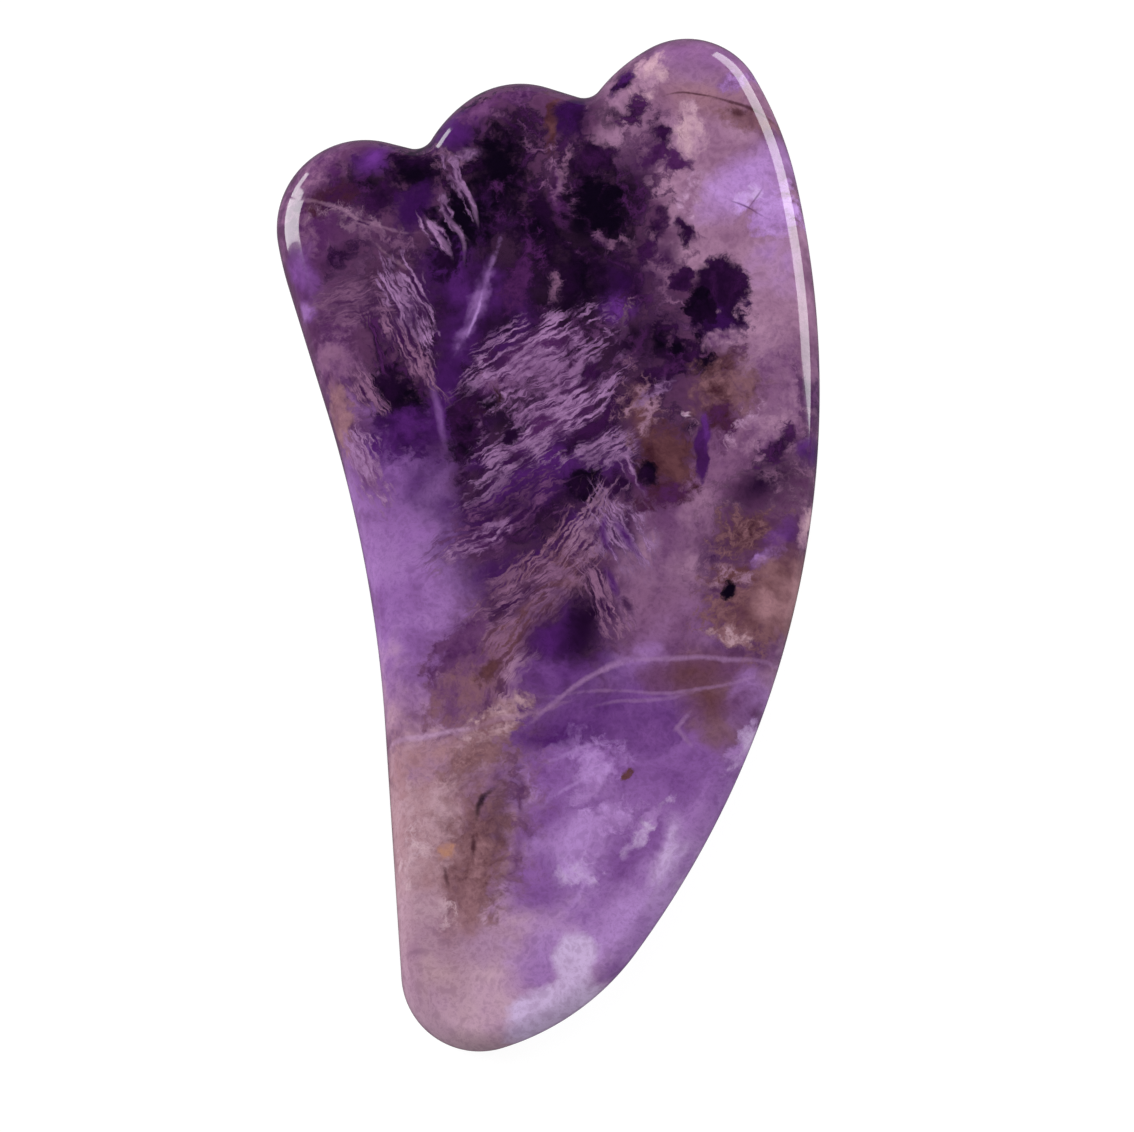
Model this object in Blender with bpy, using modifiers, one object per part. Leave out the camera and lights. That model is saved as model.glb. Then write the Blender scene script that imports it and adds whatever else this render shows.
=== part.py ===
"""Gua sha scraper: a palm-sized plate of polished stone, ground from one piece.

Run it with: blender --background --python part.py

The plate lies on its back face. +Z is the thickness, +Y points to the three lobes, -Y to the
rounded tip, -X to the hollow side and +X to the long bulging side. The origin is the middle of
the plate's box, on the back face. Everything is in metres.

Seen from the front, the outline is a belt that runs counter-clockwise round a chain of circles.
Where the stone bulges, the belt runs round the outside of a circle, and where the stone is
hollow it runs round the inside, which is written as a negative radius. Two circles that touch
hand over to each other there, and two that don't are joined by the straight line between them.
"""

import collections
import math

import bmesh
import bpy
from mathutils import Vector

MM = 0.001

# The plate.
LENGTH = 110 * MM
WIDTH = 59.5 * MM
THICKNESS = 6.5 * MM
RIM_LAND = 0.5 * MM  # the straight band left between the two rounded edges

# The rounded tip, and the belly that leads from it into the long side.
TIP_RADIUS = 8.9 * MM
BELLY_RADIUS = 29.5 * MM
BELLY_START = -82.6  # degrees: which way the outline faces where the tip hands over

# The long side is one arc, whose widest point is this far below the plate's top.
LONG_SIDE_CREST = 24.4 * MM

# The big lobe, with the shoulder that joins it to the long side.
SHOULDER_RADIUS = 41 * MM
SHOULDER_START = 3.3
BIG_LOBE_RADIUS = 8.9 * MM
BIG_LOBE_FLANK_RADIUS = 19 * MM
BIG_LOBE_FLANK_START = 109

# The middle lobe, about halfway between its neighbours.
MIDDLE_LOBE_RADIUS = 10.2 * MM
MIDDLE_LOBE_DROP = 1.9 * MM  # how far its crest is below the plate's top
MIDDLE_LOBE_SHIFT = -0.65 * MM
MIDDLE_LOBE_FLANK_RADIUS = 15.4 * MM
MIDDLE_LOBE_FLANK_START = 115
MIDDLE_LOBE_FALL = 63.3  # degrees: which way its slope down into the notch faces

# The small lobe on the hollow side.
SMALL_LOBE_RADIUS = 10.1 * MM
SMALL_LOBE_DROP = 5.3 * MM
SMALL_LOBE_FLANK_RADIUS = 42 * MM
SMALL_LOBE_FLANK_START = 180.5
SMALL_LOBE_FALL = 66.4

# The two notches between the lobes.
NOTCH_RADIUS = 2.2 * MM

# The hollow side: how deep it is, where, and how far it runs straight at each end.
WAIST_DEPTH = 3.75 * MM
WAIST_ABOVE_TIP = 53.6 * MM
WAIST_RUN_TO_TIP = 29 * MM
WAIST_RUN_TO_LOBE = 14 * MM

# How finely arcs are drawn.
CHORD_ERROR = 0.01 * MM
EDGE_STEPS = 6

STONE_COLOUR = (0.24, 0.12, 0.32, 1.0)
STONE_ROUGHNESS = 0.12
STONE_IOR = 1.544

Arc = collections.namedtuple("Arc", "centre radius")


def facing(degrees):
    """The unit vector that points this way."""
    angle = math.radians(degrees)
    return Vector((math.cos(angle), math.sin(angle)))


def next_arc(arc, radius, degrees):
    """The circle that takes over from arc where the outline faces this way."""
    return Arc(arc.centre + (arc.radius - radius) * facing(degrees), radius)


def long_side(belly):
    """The arc that touches the belly and bulges just as far as the plate's width."""
    crest = Vector((WIDTH / 2, LENGTH / 2 - LONG_SIDE_CREST))
    across, up = crest - belly.centre
    radius = (across**2 + up**2 - belly.radius**2) / (2 * (across - belly.radius))
    return Arc(crest - Vector((radius, 0)), radius)


def big_lobe(shoulder):
    """The crown that touches the shoulder and reaches just up to the plate's top."""
    height = LENGTH / 2 - BIG_LOBE_RADIUS
    rise = height - shoulder.centre.y
    run = math.sqrt((SHOULDER_RADIUS - BIG_LOBE_RADIUS) ** 2 - rise**2)
    return Arc(Vector((shoulder.centre.x + run, height)), BIG_LOBE_RADIUS)


def notch(flank, crown, fall):
    """The hollow fillet between a lobe's flank and the straight slope down from the next crown."""
    slope_faces = facing(fall)
    down_slope = Vector((slope_faces.y, -slope_faces.x))
    start = crown.centre + (crown.radius + NOTCH_RADIUS) * slope_faces
    offset = start - flank.centre
    reach = flank.radius + NOTCH_RADIUS
    half = offset.dot(down_slope)
    run = -half - math.sqrt(half**2 - offset.length_squared + reach**2)
    return Arc(start + run * down_slope, -NOTCH_RADIUS)


def waist(end, run):
    """The hollow arc from the waist's deepest point to the straight run that ends at this arc."""
    deepest = Vector((WAIST_DEPTH - WIDTH / 2, WAIST_ABOVE_TIP - LENGTH / 2))
    across, up = end.centre - deepest
    radius = (across**2 + up**2 - end.radius**2 - run**2) / (2 * (end.radius - across))
    return Arc(deepest - Vector((radius, 0)), -radius)


def outline_arcs():
    """The circles that the outline runs round, counter-clockwise from the tip."""
    left, bottom, top = -WIDTH / 2, -LENGTH / 2, LENGTH / 2

    tip = Arc(Vector((left + TIP_RADIUS, bottom + TIP_RADIUS)), TIP_RADIUS)
    belly = next_arc(tip, BELLY_RADIUS, BELLY_START)
    side = long_side(belly)

    shoulder = next_arc(side, SHOULDER_RADIUS, SHOULDER_START)
    big = big_lobe(shoulder)
    big_flank = next_arc(big, BIG_LOBE_FLANK_RADIUS, BIG_LOBE_FLANK_START)

    small_height = top - SMALL_LOBE_DROP - SMALL_LOBE_RADIUS
    small = Arc(Vector((left + SMALL_LOBE_RADIUS, small_height)), SMALL_LOBE_RADIUS)
    small_flank = next_arc(small, SMALL_LOBE_FLANK_RADIUS, SMALL_LOBE_FLANK_START)

    halfway = (small.centre.x + big.centre.x) / 2
    middle_height = top - MIDDLE_LOBE_DROP - MIDDLE_LOBE_RADIUS
    middle = Arc(Vector((halfway + MIDDLE_LOBE_SHIFT, middle_height)), MIDDLE_LOBE_RADIUS)
    middle_flank = next_arc(middle, MIDDLE_LOBE_FLANK_RADIUS, MIDDLE_LOBE_FLANK_START)

    return [
        tip,
        belly,
        side,
        shoulder,
        big,
        big_flank,
        notch(big_flank, middle, MIDDLE_LOBE_FALL),
        middle,
        middle_flank,
        notch(middle_flank, small, SMALL_LOBE_FALL),
        small,
        small_flank,
        waist(small_flank, WAIST_RUN_TO_LOBE),
        waist(tip, WAIST_RUN_TO_TIP),
    ]


def handover(arc, following):
    """Which way the outline faces where it passes from one circle to the next, in radians."""
    apart = following.centre - arc.centre
    share = (arc.radius - following.radius) / apart.length
    return math.atan2(apart.y, apart.x) - math.acos(max(-1.0, min(1.0, share)))


def arc_points(arc, start, end):
    """The points of one arc between two facing directions. The steps divide a quarter turn, so
    that the points farthest left, right, up and down on the plate are among them."""
    turn = (end - start + math.pi) % (2 * math.pi) - math.pi
    quarter = math.pi / 2
    step = quarter / math.ceil(quarter / (2 * math.acos(1 - CHORD_ERROR / abs(arc.radius))))
    low, high = sorted((start, start + turn))
    first, last = math.ceil(low / step + 0.3), math.floor(high / step - 0.3)
    between = [i * step for i in range(first, last + 1)]
    if turn < 0:
        between.reverse()
    ways = [Vector((math.cos(a), math.sin(a))) for a in (start, *between, start + turn)]
    return [arc.centre + arc.radius * way for way in ways]


def outline_points(arcs):
    """The whole outline, with the points that two touching arcs share kept once."""
    turns = [handover(arc, arcs[(i + 1) % len(arcs)]) for i, arc in enumerate(arcs)]
    points = []
    for i, arc in enumerate(arcs):
        for point in arc_points(arc, turns[i - 1], turns[i]):
            if not points or (point - points[-1]).length > CHORD_ERROR:
                points.append(point)
    if (points[0] - points[-1]).length <= CHORD_ERROR:
        points.pop()
    return points


def stone_material():
    material = bpy.data.materials.new("polished_stone")
    material.use_nodes = True
    surface = material.node_tree.nodes["Principled BSDF"]
    surface.inputs["Base Color"].default_value = STONE_COLOUR
    surface.inputs["Roughness"].default_value = STONE_ROUGHNESS
    surface.inputs["Metallic"].default_value = 0.0
    surface.inputs["IOR"].default_value = STONE_IOR
    material.diffuse_color = STONE_COLOUR
    return material


def flat_face(name, points):
    """A mesh of one face in the XY plane, facing up."""
    shape = bmesh.new()
    corners = [shape.verts.new((point.x, point.y, 0.0)) for point in points]
    shape.faces.new(corners)
    shape.normal_update()
    mesh = bpy.data.meshes.new(name)
    shape.to_mesh(mesh)
    shape.free()
    return mesh


def stone_plate(collection):
    """The back face's outline, thickened upwards, with both rims ground round."""
    mesh = flat_face("scraper_stone", outline_points(outline_arcs()))
    mesh.shade_smooth()
    mesh.materials.append(stone_material())
    plate = bpy.data.objects.new("scraper_stone", mesh)
    collection.objects.link(plate)

    thicken = plate.modifiers.new("thickness", "SOLIDIFY")
    thicken.thickness = THICKNESS
    thicken.offset = 1.0

    ground = plate.modifiers.new("ground_edges", "BEVEL")
    ground.width = (THICKNESS - RIM_LAND) / 2
    ground.segments = EDGE_STEPS
    ground.limit_method = "ANGLE"
    ground.angle_limit = math.radians(60)
    ground.use_clamp_overlap = False
    ground.harden_normals = True
    return plate


def main():
    for old in list(bpy.data.objects):
        bpy.data.objects.remove(old)
    collection = bpy.data.collections.new("gua_sha_scraper")
    bpy.context.scene.collection.children.link(collection)
    stone_plate(collection)


main()
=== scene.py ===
# %% [markdown]
# # An amethyst gua sha plate
#
# A gua sha plate is a flat stone that is drawn over the skin. This one is sawn from a block of
# amethyst, ground to its outline, rounded all the way round its rim, and polished. It has no
# other pieces: all that there is to see is a shape, a polish, and the coloured clouds, needles
# and veins that grew inside the crystal.
#
# So the lesson has two halves. First the shape is made, finely enough for a polished rim to
# show clean highlights. Then the stone is painted in its material, one patch at a time, the way
# a picture is painted: large soft clouds first, then lace, needles and crumbs, then thin lines.

# %% Load the plain model that this one dresses
import math

import bmesh
import bpy
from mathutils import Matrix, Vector


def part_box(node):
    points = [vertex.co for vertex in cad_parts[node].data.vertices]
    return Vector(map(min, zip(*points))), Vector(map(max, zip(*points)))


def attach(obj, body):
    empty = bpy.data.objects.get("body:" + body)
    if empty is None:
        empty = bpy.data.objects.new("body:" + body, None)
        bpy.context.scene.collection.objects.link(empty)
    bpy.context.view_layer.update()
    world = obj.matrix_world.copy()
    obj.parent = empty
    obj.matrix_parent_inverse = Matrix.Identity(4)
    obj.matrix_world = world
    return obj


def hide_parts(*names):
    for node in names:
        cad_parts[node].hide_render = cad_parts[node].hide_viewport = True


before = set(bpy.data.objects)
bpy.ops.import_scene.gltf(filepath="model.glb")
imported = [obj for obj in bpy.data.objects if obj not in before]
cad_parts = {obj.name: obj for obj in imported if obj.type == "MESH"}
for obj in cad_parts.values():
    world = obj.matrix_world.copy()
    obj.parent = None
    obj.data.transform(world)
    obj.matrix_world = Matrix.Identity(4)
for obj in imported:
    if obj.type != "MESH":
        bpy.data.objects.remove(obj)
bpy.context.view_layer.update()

low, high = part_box("scraper_stone")
MM = 0.001
LENGTH = high[1] - low[1]
WIDTH = high[0] - low[0]
THICKNESS = high[2] - low[2]
print(f"The plate is {WIDTH / MM:.1f} x {LENGTH / MM:.1f} x {THICKNESS / MM:.1f} mm")

# %% [markdown]
# ## The outline
#
# The grinder follows a template whose outline is a row of curves, each running smoothly into the
# next. It could be drawn as one free spline, but a spline is hard to keep fair and its radii
# can't be read. A belt round a chain of circles is better: where the stone bulges, the belt runs
# outside a circle, and where it is hollow, the belt runs inside, which is written as a negative
# radius. Two circles that touch hand over where they touch. Two that don't are joined by the
# straight line that touches both.

# %% A circle, and a circle that takes over from it
def facing(degrees):
    """The unit vector that points this way."""
    angle = math.radians(degrees)
    return Vector((math.cos(angle), math.sin(angle)))


def next_circle(circle, radius, degrees):
    """The circle that takes over where the outline faces this way."""
    centre, old_radius = circle
    return centre + (old_radius - radius) * facing(degrees), radius


# %% The tip, the belly and the long side
TIP_RADIUS = 8.9 * MM
BELLY_RADIUS = 29.5 * MM
BELLY_START = -82.6  # degrees: which way the outline faces where the tip hands over
LONG_SIDE_CREST = 24.4 * MM  # how far the widest point is below the plate's top

left, bottom, top = low[0], low[1], high[1]
tip = (Vector((left + TIP_RADIUS, bottom + TIP_RADIUS)), TIP_RADIUS)
belly = next_circle(tip, BELLY_RADIUS, BELLY_START)

crest = Vector((high[0], top - LONG_SIDE_CREST))
across, up = crest - belly[0]
side_radius = (across**2 + up**2 - belly[1] ** 2) / (2 * (across - belly[1]))
long_side = (crest - Vector((side_radius, 0)), side_radius)
print(f"The long side is an arc of {side_radius / MM:.0f} mm radius")

# %% The big lobe, and the shoulder under it
SHOULDER_RADIUS = 41 * MM
SHOULDER_START = 3.3
BIG_LOBE_RADIUS = 8.9 * MM
BIG_FLANK_RADIUS = 19 * MM
BIG_FLANK_START = 109

shoulder = next_circle(long_side, SHOULDER_RADIUS, SHOULDER_START)
rise = top - BIG_LOBE_RADIUS - shoulder[0].y
run = math.sqrt((SHOULDER_RADIUS - BIG_LOBE_RADIUS) ** 2 - rise**2)
big_lobe = (shoulder[0] + Vector((run, rise)), BIG_LOBE_RADIUS)
big_flank = next_circle(big_lobe, BIG_FLANK_RADIUS, BIG_FLANK_START)
print(f"The big lobe's circle is at x {big_lobe[0].x / MM:.1f}, y {big_lobe[0].y / MM:.1f} mm")

# %% The small lobe and the middle lobe
SMALL_LOBE_RADIUS = 10.1 * MM
SMALL_LOBE_DEPTH = 15.4 * MM  # from the plate's top to the middle of the circle
SMALL_FLANK_RADIUS = 42 * MM
SMALL_FLANK_START = 180.5

MIDDLE_LOBE_RADIUS = 10.2 * MM
MIDDLE_LOBE_DEPTH = 12.1 * MM
MIDDLE_LOBE_SHIFT = 0.65 * MM  # from halfway between its neighbours, to the left
MIDDLE_FLANK_RADIUS = 15.4 * MM
MIDDLE_FLANK_START = 115

small_centre = Vector((left + SMALL_LOBE_RADIUS, top - SMALL_LOBE_DEPTH))
small_lobe = (small_centre, SMALL_LOBE_RADIUS)
small_flank = next_circle(small_lobe, SMALL_FLANK_RADIUS, SMALL_FLANK_START)

halfway = (small_lobe[0].x + big_lobe[0].x) / 2
middle_centre = Vector((halfway - MIDDLE_LOBE_SHIFT, top - MIDDLE_LOBE_DEPTH))
middle_lobe = (middle_centre, MIDDLE_LOBE_RADIUS)
middle_flank = next_circle(middle_lobe, MIDDLE_FLANK_RADIUS, MIDDLE_FLANK_START)
print(f"The outer lobes are {(big_lobe[0].x - small_lobe[0].x) / MM:.1f} mm apart")


# %% The notches between the lobes
NOTCH_RADIUS = 2.2 * MM
MIDDLE_LOBE_FALL = 63.3  # degrees: which way its slope down into the notch faces
SMALL_LOBE_FALL = 66.4


def notch(flank, crown, slope_faces, radius=NOTCH_RADIUS):
    """A hollow fillet that touches a flank and the straight slope down from the next crown."""
    out = facing(slope_faces)
    down_slope = Vector((out.y, -out.x))
    start = crown[0] + (crown[1] + radius) * out
    offset = start - flank[0]
    half = offset.dot(down_slope)
    travel = -half - math.sqrt(half**2 - offset.length_squared + (flank[1] + radius) ** 2)
    return start + travel * down_slope, -radius


big_notch = notch(big_flank, middle_lobe, MIDDLE_LOBE_FALL)
small_notch = notch(middle_flank, small_lobe, SMALL_LOBE_FALL)
print(f"The big notch lies {(top - big_notch[0].y + NOTCH_RADIUS) / MM:.1f} mm below the top")


# %% The hollow side
WAIST_DEPTH = 3.75 * MM
WAIST_ABOVE_TIP = 53.6 * MM
WAIST_RUN_TO_LOBE = 14 * MM  # how far the side runs straight at each end
WAIST_RUN_TO_TIP = 29 * MM


def hollow(end, straight_run):
    """A hollow arc from the waist's deepest point to a straight run that ends at this circle."""
    deepest = Vector((left + WAIST_DEPTH, bottom + WAIST_ABOVE_TIP))
    across, up = end[0] - deepest
    reach = across**2 + up**2 - end[1] ** 2 - straight_run**2
    radius = reach / (2 * (end[1] - across))
    return deepest - Vector((radius, 0)), -radius


upper_waist = hollow(small_flank, WAIST_RUN_TO_LOBE)
lower_waist = hollow(tip, WAIST_RUN_TO_TIP)
print(f"The hollow's radii are {-upper_waist[1] / MM:.0f} and {-lower_waist[1] / MM:.0f} mm")

# %% The belt round them all, counter-clockwise from the tip
belt = [tip, belly, long_side, shoulder, big_lobe, big_flank, big_notch]
belt += [middle_lobe, middle_flank, small_notch, small_lobe, small_flank]
belt += [upper_waist, lower_waist]


def handover(circle, following):
    """Which way the outline faces where it leaves one circle for the next."""
    apart = following[0] - circle[0]
    share = (circle[1] - following[1]) / apart.length
    return math.atan2(apart.y, apart.x) - math.acos(max(-1.0, min(1.0, share)))


CHORD_ERROR = 0.0015 * MM
SAME_POINT = 0.02 * MM


def circle_ways(circle, start, end):
    """The facing directions at which one circle's stretch of the outline gets a point."""
    turn = (end - start + math.pi) % (2 * math.pi) - math.pi
    quarter = math.pi / 2
    step = quarter / math.ceil(quarter / (2 * math.acos(1 - CHORD_ERROR / abs(circle[1]))))
    lowest, highest = sorted((start, start + turn))
    first, last = math.ceil(lowest / step + 0.3), math.floor(highest / step - 0.3)
    between = [i * step for i in range(first, last + 1)]
    if turn < 0:
        between.reverse()
    return [start, *between, start + turn]


# %% Points along the belt, each with the way that it faces
def outline():
    """Pairs of a point and the outward direction there, right round the plate."""
    turns = [handover(circle, belt[(i + 1) % len(belt)]) for i, circle in enumerate(belt)]
    pairs = []
    for i, (centre, radius) in enumerate(belt):
        for angle in circle_ways(belt[i], turns[i - 1], turns[i]):
            way = Vector((math.cos(angle), math.sin(angle)))
            point = centre + radius * way
            if not pairs or (point - pairs[-1][0]).length > SAME_POINT:
                pairs.append((point, way))
    if (pairs[0][0] - pairs[-1][0]).length < SAME_POINT:
        pairs.pop()
    return pairs


edge_points = outline()
print(f"{len(edge_points)} points round the outline")

# %% [markdown]
# ## The rounded rim
#
# The rim is ground round on a wheel, so that no edge can catch the skin. A bevel would do it,
# but because every point of the outline knows which way it faces, the rim can be built directly:
# rings of points, each a little further in and a little higher, on a quarter circle. A narrow
# straight band stays between the upper and the lower curve, as it does on the real stone.

# %% How far in and how high each ring of the rim lies
RIM_RADIUS = 3 * MM
RIM_STEPS = 12


def rim_profile():
    """Pairs of (distance in from the outline, height above the back face), from back to front."""
    quarter = [math.pi / 2 * i / RIM_STEPS for i in range(RIM_STEPS + 1)]
    back = [(RIM_RADIUS * (1 - math.sin(a)), RIM_RADIUS * (1 - math.cos(a))) for a in quarter]
    front = [(inset, THICKNESS - height) for inset, height in reversed(back)]
    return back + front


profile = rim_profile()
print(f"{len(profile)} rings from the back face to the front face")


# %% The stone itself
def stone_mesh():
    """Rings of the outline joined by quads, closed by one flat face at the back and the front."""
    shape = bmesh.new()
    rings = []
    for inset, height in profile:
        ring = [point - inset * way for point, way in edge_points]
        rings.append([shape.verts.new((p.x, p.y, low[2] + height)) for p in ring])
    count = len(edge_points)
    for lower, upper in zip(rings, rings[1:]):
        for i in range(count):
            j = (i + 1) % count
            shape.faces.new((lower[i], lower[j], upper[j], upper[i]))
    shape.faces.new(reversed(rings[0]))
    shape.faces.new(rings[-1])
    shape.normal_update()
    mesh = bpy.data.meshes.new("polished_stone")
    shape.to_mesh(mesh)
    shape.free()
    mesh.shade_smooth()
    return mesh


stone = bpy.data.objects.new("polished_stone", stone_mesh())
bpy.context.collection.objects.link(stone)
print(f"The stone has {len(stone.data.polygons)} faces")

# %% [markdown]
# A polished face is flat right up to where the rim starts to fall away. Smooth shading alone
# would bend the light near its border, so weighted normals let the large faces keep theirs.

# %% Keep the flat faces flat in the light
flat_light = stone.modifiers.new("flat_faces", "WEIGHTED_NORMAL")
flat_light.weight = 100
flat_light.keep_sharp = False

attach(stone, "root")
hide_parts("scraper_stone")

# %% [markdown]
# ## Painting stone with nodes
#
# Amethyst is clear quartz with violet in it, crossed by milky fans of fine needles, and here
# and there stained brown. A flat purple would look like plastic. A picture could be wrapped
# round it, but a material made of nodes stays sharp at any size and runs through the thickness.
#
# The paint works in millimetres. Each patch of colour has a place, a size and a turn, and its
# inside is a texture between a dark and a light colour: soft clouds, straight needles, or a lace
# of pale threads.

# %% The material, and short helpers for its nodes
amethyst = bpy.data.materials.new("amethyst")
amethyst.use_nodes = True
stone.data.materials.append(amethyst)
tree = amethyst.node_tree
surface = tree.nodes["Principled BSDF"]


def feed(socket, value):
    """Links another node's output to a socket, or writes a number or a colour into it."""
    if isinstance(value, bpy.types.NodeSocket):
        socket.id_data.links.new(value, socket)
    elif isinstance(value, tuple) and len(socket.default_value) == 4:
        socket.default_value = (*value, 1)
    else:
        socket.default_value = value


def math_node(operation, *values, where=tree):
    """A Math node. Each value is a number or another node's output."""
    node = where.nodes.new("ShaderNodeMath")
    node.operation = operation
    for socket, value in zip(node.inputs, values):
        feed(socket, value)
    return node.outputs[0]


def vector_node(operation, *values, where=tree):
    """A Vector Math node. Each value is three numbers or another node's output."""
    node = where.nodes.new("ShaderNodeVectorMath")
    node.operation = operation
    for socket, value in zip(node.inputs, values):
        feed(socket, value)
    return node.outputs["Value" if operation == "DOT_PRODUCT" else "Vector"]


def stretch(value, start, end, where=tree):
    """Spreads the part of a texture between start and end over the whole range from 0 to 1."""
    node = where.nodes.new("ShaderNodeMapRange")
    node.interpolation_type = "SMOOTHSTEP"
    node.clamp = False
    feed(node.inputs["Value"], value)
    feed(node.inputs["From Min"], start)
    feed(node.inputs["From Max"], end)
    return node.outputs["Result"]


def mix(amount, first, second, blend="MIX", where=tree):
    """A colour between two others, each a colour or another node's output."""
    node = where.nodes.new("ShaderNodeMix")
    node.data_type = "RGBA"
    node.blend_type = blend
    feed(node.inputs[0], amount)
    feed(node.inputs[6], first)
    feed(node.inputs[7], second)
    return node.outputs[2]


def noise(position, scale, detail=4, roughness=0.55, colour=False):
    """A Noise Texture, with its size given in patterns per millimetre."""
    node = tree.nodes.new("ShaderNodeTexNoise")
    node.inputs["Scale"].default_value = scale
    node.inputs["Detail"].default_value = detail
    node.inputs["Roughness"].default_value = roughness
    feed(node.inputs["Vector"], position)
    return node.outputs["Color" if colour else "Fac"]


# %% [markdown]
# The stone's colour zones don't run straight through it: they lean, so the back shows the same
# clouds a few millimetres away. A little slow noise added to the position bends every line, and
# a little fast noise on top of that tears every border.

# %% Positions in millimetres, leaning through the thickness, then bent, then torn
LEAN_X = 0.55  # how far the colours shift, for each millimetre below the front face
LEAN_Y = -0.4

place = tree.nodes.new("ShaderNodeTexCoord").outputs["Object"]
in_mm = vector_node("MULTIPLY", place, (1 / MM, 1 / MM, 1 / MM))

depth = tree.nodes.new("ShaderNodeSeparateXYZ")
feed(depth.inputs[0], in_mm)
below_front = math_node("SUBTRACT", depth.outputs["Z"], THICKNESS / MM)
lean_x = math_node("MULTIPLY", below_front, LEAN_X)
lean_y = math_node("MULTIPLY", below_front, LEAN_Y)
lean = tree.nodes.new("ShaderNodeCombineXYZ")
feed(lean.inputs["X"], lean_x)
feed(lean.inputs["Y"], lean_y)
straight = vector_node("ADD", in_mm, lean.outputs[0])


def push(position, scale, amount, detail):
    """Pushes positions about by up to roughly half of this many millimetres."""
    cloud = noise(position, scale, detail, colour=True)
    apart = tree.nodes.new("ShaderNodeSeparateColor")
    feed(apart.inputs[0], cloud)
    push_x = math_node("MULTIPLY", math_node("SUBTRACT", apart.outputs["Red"], 0.5), amount)
    push_y = math_node("MULTIPLY", math_node("SUBTRACT", apart.outputs["Green"], 0.5), amount)
    way = tree.nodes.new("ShaderNodeCombineXYZ")
    feed(way.inputs["X"], push_x)
    feed(way.inputs["Y"], push_y)
    return vector_node("ADD", position, way.outputs[0])


bent = push(straight, 0.12, 2.2, 1)
torn = push(bent, 0.8, 1.2, 5)
frayed = push(torn, 0.35, 2.6, 5)

# %% [markdown]
# ## What fills a patch
#
# Mist and clouds are plain noise, soft or puffy, and specks are the peaks of a finer one. Wisps
# are noise folded at its middle, which leaves thin bright ridges. Lace goes further: it folds
# noise of every size, and each size sits on the ridges of the one before, so that pale threads
# branch over the dark. Fans are bundles of fine needles: the same threads, stretched along one
# direction and broken by gaps.
#
# A texture also frays the border of a patch. The fringe is that part of it, centred on zero, so
# that the patch grows where the texture is bright and shrinks where it's dark.

# %% Mist, clouds, specks and wisps
mist = stretch(noise(bent, 0.16, 4, 0.55), 0.32, 0.68)
clouds = stretch(noise(torn, 0.33, 7, 0.66), 0.34, 0.66)
specks = stretch(noise(torn, 0.9, 6, 0.7), 0.42, 0.68)


def ridges(scale, sharpness):
    """Thin bright lines where the noise passes through its middle."""
    folded = math_node("ABSOLUTE", math_node("SUBTRACT", noise(torn, scale, 8, 0.62), 0.5))
    return stretch(math_node("MULTIPLY", folded, -sharpness), -1, 0)


wisps = math_node("MULTIPLY", ridges(0.3, 8), stretch(noise(bent, 0.5, 6, 0.7), 0.3, 0.62))


# %% Threads of every size, and the lace that they make
def threads(position, scale, roughness, gain):
    """Noise that is brightest along threads of every size."""
    node = tree.nodes.new("ShaderNodeTexNoise")
    node.noise_type = "RIDGED_MULTIFRACTAL"
    node.inputs["Scale"].default_value = scale
    node.inputs["Detail"].default_value = 8
    node.inputs["Roughness"].default_value = roughness
    node.inputs["Offset"].default_value = 1
    node.inputs["Gain"].default_value = gain
    feed(node.inputs["Vector"], position)
    return node.outputs["Fac"]


lace = stretch(threads(torn, 0.25, 0.7, 2), 1.4, 3.3)


# %% Fans of needles
patchy = stretch(noise(torn, 0.3, 6, 0.66), 0.26, 0.58)


def needles(degrees, across=1.15, along=0.2, through=0.3):
    """Threads stretched along one direction, with gaps between the bundles."""
    turned = tree.nodes.new("ShaderNodeVectorRotate")
    turned.rotation_type = "Z_AXIS"
    turned.inputs["Angle"].default_value = math.radians(-degrees)
    feed(turned.inputs["Vector"], torn)
    squeezed = vector_node("MULTIPLY", turned.outputs[0], (along, across, through))
    return math_node("MULTIPLY", stretch(threads(squeezed, 1, 0.78, 1.3), 0.6, 2.6), patchy)


# %% The textures and their fringes, by name
TEXTURES = {
    "mist": mist,
    "clouds": clouds,
    "specks": specks,
    "wisps": wisps,
    "lace": lace,
    "fan_flat": needles(4),
    "fan_low": needles(22),
    "fan_spine": needles(45),
    "fan_steep": needles(110),
}
ragged = math_node("SUBTRACT", stretch(noise(torn, 0.6, 7, 0.7), 0.25, 0.75), 0.5)


def fringe(texture, depth):
    """The texture, scaled to this depth and centred on zero."""
    return math_node("MULTIPLY_ADD", texture, depth, -depth / 2)


FRINGES = {"lace": math_node("SUBTRACT", lace, 0.5), "mist": fringe(mist, 0.5)}
for name in ("fan_flat", "fan_low", "fan_spine", "fan_steep"):
    FRINGES[name] = fringe(TEXTURES[name], 0.7)
print("Textures:", ", ".join(TEXTURES))

# %% [markdown]
# ## The patch
#
# A patch is an ellipse with a ragged, soft border, and it can be bowed like a banana. It's a
# node group, because it's used for every patch. It measures how far a place lies along and
# across the patch, straightens the bow, and fades out where the distance from the middle passes
# one. Then it lays its dark colour over the paint that comes in, and its light colour over that
# where the texture is bright. The fringe tears the border, so clouds end in puffs and needles
# end in points.

# %% What goes into a patch
PATCH_INPUTS = {
    "Paint": "NodeSocketColor",
    "Position": "NodeSocketVector",
    "Middle": "NodeSocketVector",
    "Along": "NodeSocketVector",
    "Across": "NodeSocketVector",
    "Bow": "NodeSocketFloat",
    "Softness": "NodeSocketFloat",
    "Fringe": "NodeSocketFloat",
    "Tear": "NodeSocketFloat",
    "Strength": "NodeSocketFloat",
    "Dark": "NodeSocketColor",
    "Texture": "NodeSocketFloat",
    "Light": "NodeSocketColor",
}


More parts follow.
